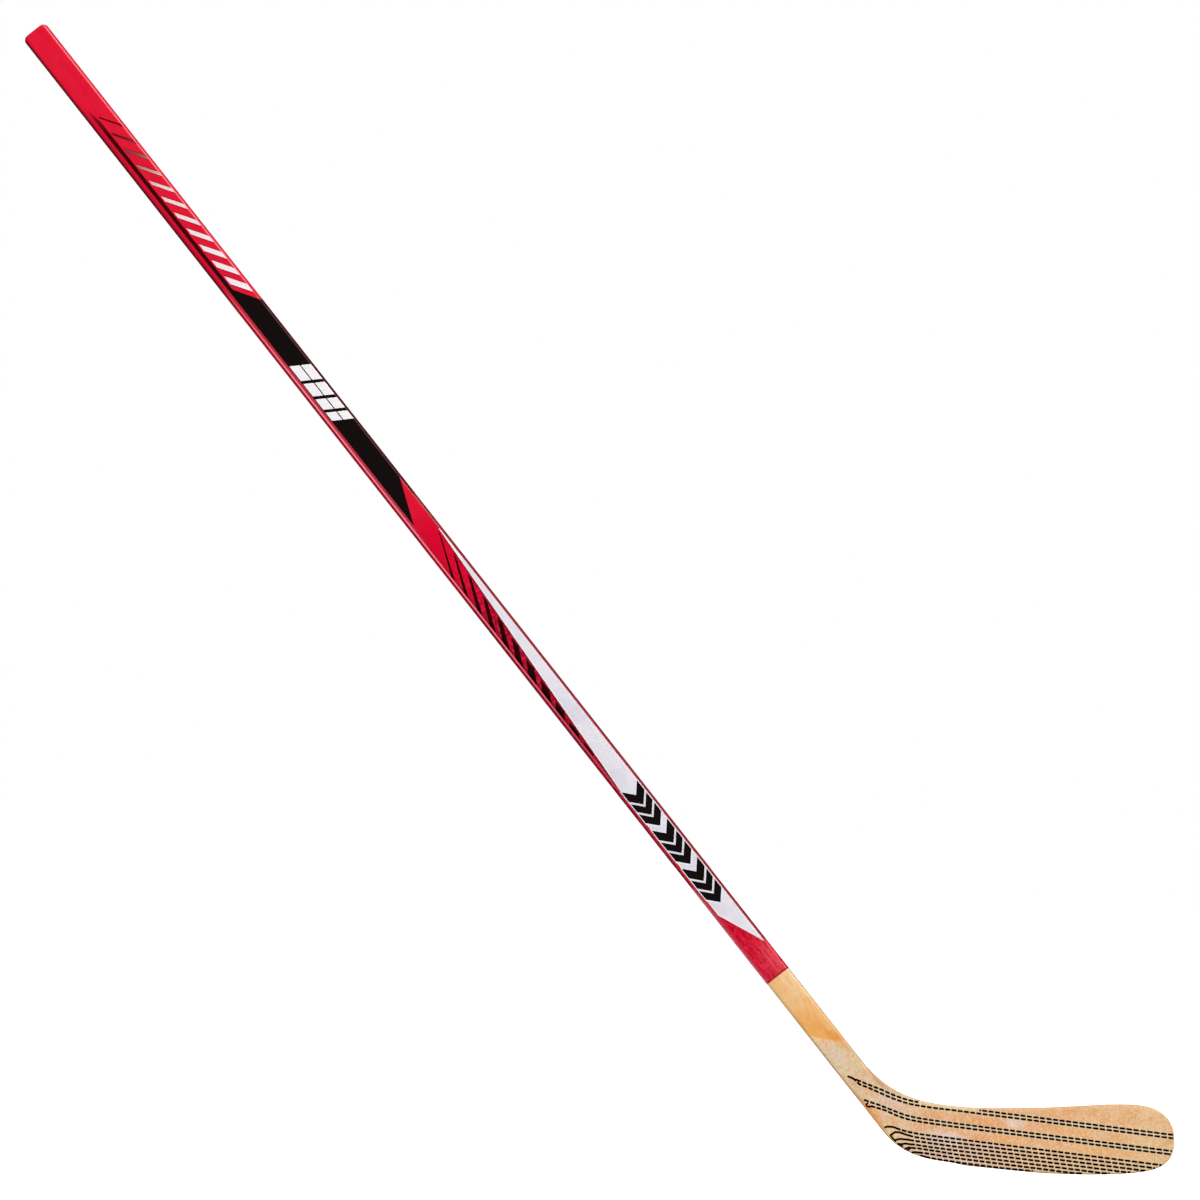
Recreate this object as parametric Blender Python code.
"""Ice hockey stick: a laminated wooden shaft, a wooden blade tongued into its forked end,
glass cloth on both blade faces and the dark tracer yarns laid in that cloth.

The stick stands in its playing pose. +Z is up from the ice, +X runs from the heel to the toe,
and the concave forehand face looks towards -Y. The origin is the sole's contact point.
Lengths below are millimetres and angles are degrees; add_body turns them into metres.

Two coordinate pairs describe a point of the blade plane: (x, z), and (rise, reach), where rise
runs up the shaft's lower edge from the virtual heel and reach runs across the shaft from it.
"""

import functools
import math

import bmesh
import bpy
import numpy as np
from mathutils import Vector
from mathutils.geometry import interpolate_bezier

MILLIMETRE = 0.001

# Shaft
SHAFT_LENGTH = 1524.0
SHAFT_WIDTH = 29.2
SHAFT_THICKNESS = 19.6
SHAFT_TO_ICE = 46.08
VIRTUAL_HEEL_X = -93.2
BUTT_CORNER_RADIUS = 6.0
BUTT_EDGE_RADIUS = 2.0
CORNER_SHARE = 0.44

# Taper from the shaft's thickness to the blade's
TAPER_TOP = 232.0
TAPER_FOOT = 40.0
HEEL_HALF_THICKNESS = 3.5
TOE_HALF_THICKNESS = 2.3
THINNING_START_X = -60.0
TOE_X = 191.0

# The layers across the shaft's thickness, from the middle outwards
GLUE_LINE = 0.2
MIDDLE_PLY = 4.0
CORE_PLY = 4.0
FACE_PLY = 2.7
COAT_GAP = 0.1
COAT_THICKNESS = 0.12
COAT_END_RISE = 238.5

# Blade board and its joint with the shaft
BLADE_CURVE_START_X = -40.0
BLADE_CURVE_RADIUS = 850.0
TONGUE_TOP_RISE = 150.0
TONGUE_OVERLAP = 4.0
TONGUE_FOOT_RISE = -25.0
FORK_FOOT_RISE = -24.0
THROAT_RISE = 112.0
BLUNT_TIP = 0.8
RIB_COUNT = 60

# Glass cloth
CLOTH_THICKNESS = 0.45
CLOTH_EDGE_TRIM = 0.9
CLOTH_START_LOWER_RISE = 168.0
CLOTH_START_UPPER_RISE = 136.0
BARE_STRIP_RISES = (30.0, 102.0)
BARE_STRIP_WIDTH = 3.4

# Tracer yarns. A line's height is the one it has where it crosses x = TRACER_DATUM_X. Each line
# is (height, distance kept from the heel's edge, length and drop of its hooked end).
TRACER_WIDTH = 1.4
TRACER_THICKNESS = 0.3
TRACER_GAP = 0.15
TRACER_DATUM_X = 50.0
TRACER_FALL = 0.024
TRACER_PAIRS = (
    (58.5, 15.5, 24.0, 6.8),
    (54.9, 17.0, 15.0, 0.8),
    (41.2, 10.7, 15.0, 4.3),
    (37.6, 9.6, 15.0, 4.8),
)
TRACER_BAND_TOP = 24.9
TRACER_BAND_PITCH = 4.12
TRACER_BAND_COUNT = 7
TRACER_BAND_HEEL = (10.0, 9.0, 5.5)
TRACER_BEND_X = -100.0
TRACER_BEND_SLOPE = 0.39
TRACER_BEND_SOFTNESS = 16.0
TRACER_TOE_MARGIN = 1.2
TRACER_SOLE_MARGIN = 1.2
TRACER_TOP_MARGIN = 2.0
TRACER_SHORTEST = 20.0

# The outline's anchors below the shaft: x, z, heading, and the handle lengths before and after.
HEEL_START_RISE = 40.0
SHAFT_HANDLES = (29.0, 46.0)
OUTLINE_ANCHORS = (
    (-50.0, 2.0, -2.0, 30.0, 16.0),
    (-14.0, 0.0, 0.0, 26.0, 1.0),
    (30.0, 0.0, 0.0, 1.0, 43.0),
    (162.0, 13.0, 15.0, 31.0, 16.0),
    (TOE_X, 44.0, 90.0, 19.0, 23.0),
    (150.0, 83.0, 180.0, 27.0, 29.0),
    (40.0, 69.0, 187.0, 45.0, 29.0),
    (-43.0, 62.0, 180.0, 17.0, 43.0),
)
TOE_ANCHOR = 4
CURVE_STEPS = 24

# Colour, roughness and metallic value of each material
MATERIALS = {
    "red_lacquer": ((0.70, 0.01, 0.04), 0.25, 0.0),
    "glass_laminate": ((0.82, 0.70, 0.50), 0.45, 0.0),
    "birch": ((0.86, 0.62, 0.36), 0.55, 0.0),
    "aspen": ((0.90, 0.74, 0.52), 0.60, 0.0),
    "ash": ((0.80, 0.53, 0.27), 0.50, 0.0),
    "glass_cloth": ((0.84, 0.62, 0.40), 0.40, 0.0),
    "tracer_yarn": ((0.02, 0.015, 0.012), 0.50, 0.0),
}

FRONT = -1
BACK = 1
SIDES = ((FRONT, "front"), (BACK, "back"))

# How finely the round shapes are divided
CORNER_STEPS = 6
TAPER_STEP = 14.0
SLIVER = 0.1
RIB_CROWDING = 1.6
EDGE_ZONE = 4.4
EDGE_SHARES = (0.0, 0.14, 0.45, 1.0)
FLAT_STEPS = 3
TONGUE_SECTIONS = 18
CLOTH_END_SHARE = 0.993
SHORTEST_X = -190.0
TRACER_HOOK_STEP = 2.0
TRACER_BEND_STEP = 6.0
TRACER_BLADE_STEP = 14.0


def clear_scene():
    for existing in list(bpy.data.objects):
        bpy.data.objects.remove(existing, do_unlink=True)


def material(name):
    """The named Principled material, made the first time that it is asked for."""
    if name in bpy.data.materials:
        return bpy.data.materials[name]
    colour, roughness, metallic = MATERIALS[name]
    made = bpy.data.materials.new(name)
    made.use_nodes = True
    shader = made.node_tree.nodes["Principled BSDF"]
    shader.inputs["Base Color"].default_value = (*colour, 1.0)
    shader.inputs["Roughness"].default_value = roughness
    shader.inputs["Metallic"].default_value = metallic
    made.diffuse_color = (*colour, 1.0)
    return made


# The stick's shape


def on_shaft(rise, reach):
    """(x, z) of a point given up and across the shaft."""
    angle = math.radians(SHAFT_TO_ICE)
    x = VIRTUAL_HEEL_X - rise * math.cos(angle) + reach * math.sin(angle)
    z = rise * math.sin(angle) + reach * math.cos(angle)
    return x, z


def from_heel(x, z):
    """(rise, reach) of a point of the blade plane."""
    angle = math.radians(SHAFT_TO_ICE)
    rise = -(x - VIRTUAL_HEEL_X) * math.cos(angle) + z * math.sin(angle)
    reach = (x - VIRTUAL_HEEL_X) * math.sin(angle) + z * math.cos(angle)
    return rise, reach


def bezier(start, end):
    """Points of the curve between two anchors, without its last point."""
    knots = []
    for anchor, handle in ((start, start[4]), (end, -end[3])):
        x, z, heading = anchor[:3]
        along = Vector((math.cos(math.radians(heading)), math.sin(math.radians(heading))))
        knots.append((Vector((x, z)), Vector((x, z)) + along * handle))
    (first, leaving), (last, arriving) = knots
    points = interpolate_bezier(first, leaving, arriving, last, CURVE_STEPS)
    return [tuple(point) for point in points[:-1]]


def curve_through(anchors):
    points = []
    for start, end in zip(anchors[:-1], anchors[1:]):
        points += bezier(start, end)
    return points + [anchors[-1][:2]]


@functools.cache
def lower_edge(top_rise):
    """The lower outline, from a height on the shaft round the heel and sole to the toe."""
    start = (*on_shaft(HEEL_START_RISE, 0), -SHAFT_TO_ICE, 0, SHAFT_HANDLES[0])
    curve = curve_through((start, *OUTLINE_ANCHORS[: TOE_ANCHOR + 1]))
    return np.array([on_shaft(top_rise, 0)] + curve)


@functools.cache
def upper_edge(top_rise):
    """The upper outline, from a height on the shaft round the throat to the toe."""
    start = (*on_shaft(THROAT_RISE, SHAFT_WIDTH), 180 - SHAFT_TO_ICE, SHAFT_HANDLES[1], 0)
    curve = curve_through((*OUTLINE_ANCHORS[TOE_ANCHOR:], start))
    return np.array([on_shaft(top_rise, SHAFT_WIDTH)] + curve[::-1])


def edge_reach(edge, rise):
    """How far across the shaft an edge of the outline lies at a height."""
    rises, reaches = from_heel(edge[:, 0], edge[:, 1])
    in_order = np.argsort(rises)
    return float(np.interp(rise, rises[in_order], reaches[in_order]))


def lower_reach(rise):
    """Where the lower edge lies: at 0 above the heel's curve, and further across below it."""
    return edge_reach(lower_edge(SHAFT_LENGTH), rise)


def upper_reach(rise):
    """Where the upper edge lies: at the shaft's width above the throat, and further below."""
    return edge_reach(upper_edge(SHAFT_LENGTH), rise)


def edge_distance(x, z):
    """Distance from a point of the blade plane to the outline."""
    outline = np.vstack([lower_edge(SHAFT_LENGTH), upper_edge(SHAFT_LENGTH)[::-1]])
    starts, spans = outline[:-1], np.diff(outline, axis=0)
    spans_squared = np.maximum((spans**2).sum(axis=1), 1e-12)
    offsets = np.array((x, z)) - starts
    shares = np.clip((offsets * spans).sum(axis=1) / spans_squared, 0.0, 1.0)
    return float(np.hypot(*(offsets - spans * shares[:, None]).T).min())


def smooth_step(share):
    share = min(max(share, 0.0), 1.0)
    return share * share * (3 - 2 * share)


def half_thickness(x, z):
    """Half the wood's thickness: the shaft's, the taper's, then the slowly thinning blade's."""
    rise, _ = from_heel(x, z)
    taper = smooth_step((rise - TAPER_FOOT) / (TAPER_TOP - TAPER_FOOT))
    along_blade = (x - THINNING_START_X) / (TOE_X - THINNING_START_X)
    thinned = (HEEL_HALF_THICKNESS - TOE_HALF_THICKNESS) * min(max(along_blade, 0.0), 1.0)
    blade = HEEL_HALF_THICKNESS - thinned
    return blade + (SHAFT_THICKNESS / 2 - HEEL_HALF_THICKNESS) * taper


def blade_curve(x):
    """The middle surface's y: 0 behind the curve's start, then an arc towards the forehand."""
    run = max(x - BLADE_CURVE_START_X, 0.0)
    return math.sqrt(BLADE_CURVE_RADIUS**2 - run**2) - BLADE_CURVE_RADIUS


# Mesh building


def add_body(name, rings, material_name):
    """One closed body through rings of points in order, each ring with as many points."""
    mesh = bmesh.new()
    loops = [[mesh.verts.new(Vector(point) * MILLIMETRE) for point in ring] for ring in rings]
    size = len(loops[0])
    for near, far in zip(loops[:-1], loops[1:]):
        for i in range(size):
            j = (i + 1) % size
            mesh.faces.new((near[i], near[j], far[j], far[i]))
    mesh.faces.new(loops[0])
    mesh.faces.new(loops[-1])
    bmesh.ops.recalc_face_normals(mesh, faces=mesh.faces)
    data = bpy.data.meshes.new(name)
    mesh.to_mesh(data)
    mesh.free()
    data.materials.append(material(material_name))
    data.shade_smooth()
    data.set_sharp_from_angle(angle=math.radians(30))
    body = bpy.data.objects.new(name, data)
    bpy.context.scene.collection.objects.link(body)
    return body


def along(edge, stations):
    """Points at shares of an edge's length."""
    steps = np.hypot(*np.diff(edge, axis=0).T)
    lengths = np.concatenate(([0.0], np.cumsum(steps)))
    wanted = np.array(stations) * lengths[-1]
    return np.column_stack([np.interp(wanted, lengths, edge[:, i]) for i in (0, 1)])


def rib_stations():
    """Shares of an edge's length from 0 to nearly 1, closer together at the round toe."""
    return [1 - (1 - i / RIB_COUNT) ** RIB_CROWDING for i in range(RIB_COUNT)]


def rounding_drop(radius, from_edge):
    """How far a round of this radius has fallen at a distance inside its edge."""
    return radius - math.sqrt(radius**2 - max(radius - from_edge, 0.0) ** 2)


def surface_point(x, z, side, lift):
    """A point at a lift over the wood's front or back face, which rounds off at the outline."""
    half = half_thickness(x, z)
    face = half - rounding_drop(CORNER_SHARE * half, edge_distance(x, z))
    return x, blade_curve(x) + side * (face + lift), z


# Shaft


def butt_distances(radius):
    """Distances from the butt at which its rounded end gets a section."""
    quarter_turn = np.radians(np.linspace(0, 90, 7))
    return list(radius * (1 - np.cos(quarter_turn)))


def shaft_section(rise, growth):
    """Half width, half height and corner radius of the section, grown outwards by a distance."""
    from_tip = SHAFT_LENGTH + growth - rise
    half = half_thickness(*on_shaft(rise, 0))
    wood = half - rounding_drop(BUTT_EDGE_RADIUS, max(from_tip - growth, 0.0))
    height = half + growth - rounding_drop(BUTT_EDGE_RADIUS + growth, from_tip)
    width = SHAFT_WIDTH / 2 + growth - rounding_drop(BUTT_CORNER_RADIUS + growth, from_tip)
    return width, height, CORNER_SHARE * wood + growth


def corner_fall(corner, height, y):
    """How far the rounded long edge falls back at a height y over the middle."""
    over = max(abs(y) - (height - corner), 0.0)
    return corner - math.sqrt(max(corner**2 - over**2, 0.0))


def layer_ring(rise, inner, outer, side):
    """One section of a wooden layer that lies between two heights over the middle."""
    width, height, corner = shaft_section(rise, 0.0)
    narrowing = SHAFT_WIDTH / 2 - width
    lower_side = []
    upper_side = []
    for quarter in np.radians((0, 30, 50, 70, 90)):
        y = inner + (min(outer, height) - inner) * math.sin(quarter)
        fall = corner_fall(corner, height, y)
        high = min(upper_reach(rise) - fall, SHAFT_WIDTH) - narrowing
        low_x, low_z = on_shaft(rise, lower_reach(rise) + narrowing + fall)
        high_x, high_z = on_shaft(rise, high)
        lower_side.append((low_x, side * y, low_z))
        upper_side.append((high_x, side * y, high_z))
    return lower_side + upper_side[::-1]


def layer_rises(inner, foot):
    """Heights of a layer's sections: its rounded butt end, then the taper down to its foot."""
    butt = [SHAFT_LENGTH - distance for distance in butt_distances(BUTT_CORNER_RADIUS)]
    butt = [rise for rise in butt if shaft_section(rise, 0.0)[1] > inner + SLIVER]
    count = max(int((TAPER_TOP - foot) / TAPER_STEP), 2)
    return butt + list(np.linspace(TAPER_TOP, foot, count))


def feather_rise(inner):
    """The height at which the taper has cut through all but a sliver of a layer."""
    rise = TAPER_TOP
    while half_thickness(*on_shaft(rise, 0)) > inner + SLIVER:
        rise -= 1.0
    return rise


def shaft_layer(name, inner, outer, side, foot, material_name):
    rings = [layer_ring(rise, inner, outer, side) for rise in layer_rises(inner, foot)]
    return add_body(name, rings, material_name)


def build_shaft():
    middle = MIDDLE_PLY / 2
    core = (middle + GLUE_LINE, middle + GLUE_LINE + CORE_PLY)
    face = (core[1] + GLUE_LINE, core[1] + GLUE_LINE + FACE_PLY)
    laminate = (face[1] + GLUE_LINE, SHAFT_THICKNESS / 2)
    for side, where in SIDES:
        shaft_layer(f"shaft_core_ply_{where}", *core, side, FORK_FOOT_RISE, "aspen")
        shaft_layer(f"shaft_face_ply_{where}", *face, side, feather_rise(face[0]), "birch")
        foot = feather_rise(laminate[0])
        shaft_layer(f"shaft_laminate_{where}", *laminate, side, foot, "glass_laminate")
    foot = TONGUE_TOP_RISE + GLUE_LINE
    rises = layer_rises(middle, foot)
    rings = [layer_ring(rise, -middle, middle, BACK) for rise in rises]
    add_body("shaft_core_ply_middle", rings, "aspen")


def coat_ring(rise, growth):
    """One section of the coat's inner or outer surface: a rounded rectangle."""
    width, height, corner = shaft_section(rise, growth)
    ring = []
    for quadrant, (right, top) in enumerate(((1, 1), (-1, 1), (-1, -1), (1, -1))):
        for step in range(CORNER_STEPS + 1):
            angle = math.radians(90 * (quadrant + step / CORNER_STEPS))
            reach = SHAFT_WIDTH / 2 + right * (width - corner) + corner * math.cos(angle)
            x, z = on_shaft(rise, reach)
            ring.append((x, top * (height - corner) + corner * math.sin(angle), z))
    return ring


def coat_rings(growth):
    """Sections of one surface of the coat, from the butt to the coat's end."""
    distances = butt_distances(BUTT_CORNER_RADIUS + growth)
    rises = [SHAFT_LENGTH + growth - distance for distance in distances]
    return [coat_ring(rise, growth) for rise in [*rises, COAT_END_RISE]]


def build_coat():
    """The lacquered film: a thin cup, closed at the butt and open towards the blade."""
    inner = coat_rings(COAT_GAP)
    outer = coat_rings(COAT_GAP + COAT_THICKNESS)
    add_body("shaft_lacquer_coat", inner + outer[::-1], "red_lacquer")


# Blade


def clipped(edge, reach):
    """The part of an edge that lies further across the shaft than a reach."""
    _, reaches = from_heel(edge[:, 0], edge[:, 1])
    first = int(np.argmax(reaches > reach))
    share = (reach - reaches[first - 1]) / (reaches[first] - reaches[first - 1])
    start = edge[first - 1] + share * (edge[first] - edge[first - 1])
    return np.vstack([start, edge[first:]])


def across_rib(low, high, start, end):
    """Points from one edge to the other, closest together where the edges are rounded."""
    span = np.array(high) - np.array(low)
    length = float(np.hypot(*span))
    rounded = min(EDGE_ZONE, length / 3)
    near = start + (rounded - start) * np.array(EDGE_SHARES)
    far = length - end - (rounded - end) * np.array(EDGE_SHARES)
    flat = np.linspace(max(near[-1], start), far[-1], FLAT_STEPS + 1)[1:-1]
    return [np.array(low) + span * (over / length) for over in (*near, *flat, *far[::-1])]


def board_ring(low, high):
    """One rib of the board, from the lower to the upper outline and back on the other face."""
    points = across_rib(low, high, 0.0, 0.0)
    front = [surface_point(*point, FRONT, 0.0) for point in points]
    back = [surface_point(*point, BACK, 0.0) for point in points]
    return front + back[::-1]


def tongue_ring(rise):
    """One section of the board's tongue, from the heel's outline to the throat's or the board."""
    half = MIDDLE_PLY / 2
    inside_throat = max(upper_reach(rise) - GLUE_LINE, SHAFT_WIDTH)
    low = on_shaft(rise, lower_reach(rise))
    high = on_shaft(rise, min(inside_throat, SHAFT_WIDTH + TONGUE_OVERLAP))
    corners = ((low, -half), (high, -half), (high, half), (low, half))
    return [(point[0], y, point[1]) for point, y in corners]


def build_board():
    """The wooden blade: a curved board from the shaft's shoulder to the toe, with a tongue."""
    shoulder = SHAFT_WIDTH + GLUE_LINE
    lower = clipped(lower_edge(SHAFT_LENGTH), shoulder)
    upper = clipped(upper_edge(SHAFT_LENGTH), shoulder + BLUNT_TIP)
    lows = along(lower, rib_stations())
    highs = along(upper, rib_stations())
    top_rise, _ = from_heel(*highs[0])
    highs[0] = on_shaft(top_rise, shoulder)
    rings = [board_ring(low, high) for low, high in zip(lows, highs)]
    board = add_body("blade_board", rings, "ash")

    rises = (TONGUE_TOP_RISE, *np.linspace(THROAT_RISE, TONGUE_FOOT_RISE, TONGUE_SECTIONS))
    tongue = add_body("blade_tongue_guide", [tongue_ring(rise) for rise in rises], "ash")
    tongue.hide_render = True
    tongue.display_type = "WIRE"
    union = board.modifiers.new("tongue", "BOOLEAN")
    union.operation = "UNION"
    union.solver = "EXACT"
    union.object = tongue


# Glass cloth


def bare_strip(rise):
    """Width of the bare wood beside the heel's edge, where the cloth stops short of it."""
    foot, top = BARE_STRIP_RISES
    share = min(max((rise - foot) / (top - foot), 0.0), 1.0)
    return BARE_STRIP_WIDTH * math.sin(math.pi * share)


def cloth_ring(low, high, side):
    """One rib of a cloth: a thin strip that follows the wood's face."""
    start = CLOTH_EDGE_TRIM + bare_strip(from_heel(*low)[0])
    points = across_rib(low, high, start, CLOTH_EDGE_TRIM)
    under = [surface_point(*point, side, GLUE_LINE) for point in points]
    over = [surface_point(*point, side, GLUE_LINE + CLOTH_THICKNESS) for point in points]
    return under + over[::-1]


def build_cloths():
    stations = [station * CLOTH_END_SHARE for station in rib_stations()]
    lows = along(lower_edge(CLOTH_START_LOWER_RISE), stations)
    highs = along(upper_edge(CLOTH_START_UPPER_RISE), stations)
    for side, where in SIDES:
        rings = [cloth_ring(low, high, side) for low, high in zip(lows, highs)]
        add_body(f"blade_cloth_{where}", rings, "glass_cloth")


# Tracer yarns


def outline_heights(x):
    """The outline's lower and upper z at an x."""
    edges = (lower_edge(SHAFT_LENGTH), upper_edge(SHAFT_LENGTH))
    return [np.interp(x, edge[:, 0], edge[:, 1]) for edge in edges]


def tracer_height(x, datum_height):
    """A yarn's z at an x: nearly straight over the blade, bent up towards the shaft."""
    past_bend = x - TRACER_BEND_X
    bend = TRACER_BEND_SLOPE * (np.hypot(past_bend, TRACER_BEND_SOFTNESS) - past_bend) / 2
    return datum_height - TRACER_FALL * (x - TRACER_DATUM_X) + bend


def tracer_runs(datum_height, heel_margin):
    """The stretches of x over which a yarn lies on the cloth, clear of the trimmed edges."""
    x = np.arange(SHORTEST_X, TOE_X, 1.0)
    z = tracer_height(x, datum_height)
    low, high = outline_heights(x)
    low_behind, _ = outline_heights(x - heel_margin)
    low_ahead, high_ahead = outline_heights(x + TRACER_TOE_MARGIN)
    is_clear = (z > low + TRACER_SOLE_MARGIN) & (z < high - TRACER_TOP_MARGIN) & (z > low_behind)
    is_clear &= (z > low_ahead) & (z < high_ahead) & (x + TRACER_TOE_MARGIN < TOE_X)
    changes = np.flatnonzero(np.diff(np.concatenate(([0], is_clear.astype(int), [0]))))
    runs = [(x[first], x[last - 1]) for first, last in zip(changes[::2], changes[1::2])]
    return [run for run in runs if run[1] - run[0] > TRACER_SHORTEST]


def tracer_stations(start, end, hook_end):
    """Where a yarn gets a section: closest in its hooked end, widest over the blade."""
    stations = [start]
    while stations[-1] < end:
        step = TRACER_BEND_STEP if stations[-1] < THINNING_START_X else TRACER_BLADE_STEP
        step = TRACER_HOOK_STEP if stations[-1] < hook_end else step
        stations.append(stations[-1] + step)
    return [*stations[:-1], end]


def tracer_path(start, end, datum_height, hook_length, hook_drop):
    """Points (x, z) of a yarn, its heel end hooked down as far as the outline lets it."""
    lowest = outline_heights(start)[0] + TRACER_SOLE_MARGIN
    drop = max(min(hook_drop, tracer_height(start, datum_height) - lowest), 0.0)
    if start > THINNING_START_X:
        drop = 0.0
    path = []
    for x in tracer_stations(start, end, start + hook_length):
        share = max(1 - (x - start) / hook_length, 0.0)
        path.append((x, float(tracer_height(x, datum_height) - drop * share**2)))
    return path


def tracer_rings(path, side):
    rings = []
    path = np.array(path)
    headings = np.gradient(path, axis=0)
    for point, heading in zip(path, headings):
        across = np.array((-heading[1], heading[0])) / np.hypot(*heading) * TRACER_WIDTH / 2
        base = GLUE_LINE + CLOTH_THICKNESS + TRACER_GAP
        corners = ((-1, base), (1, base), (1, base + TRACER_THICKNESS), (-1, base + TRACER_THICKNESS))
        rings.append([surface_point(*(point + sign * across), side, lift) for sign, lift in corners])
    return rings


def build_tracers():
    band = [
        (TRACER_BAND_TOP - TRACER_BAND_PITCH * i, *TRACER_BAND_HEEL)
        for i in range(TRACER_BAND_COUNT)
    ]
    for side, where in SIDES:
        number = 0
        for datum_height, heel_margin, *hook in (*TRACER_PAIRS, *band):
            for start, end in tracer_runs(datum_height, heel_margin):
                number += 1
                path = tracer_path(start, end, datum_height, *hook)
                add_body(f"tracer_yarn_{where}_{number:02d}", tracer_rings(path, side), "tracer_yarn")


clear_scene()
build_shaft()
build_coat()
build_board()
build_cloths()
build_tracers()
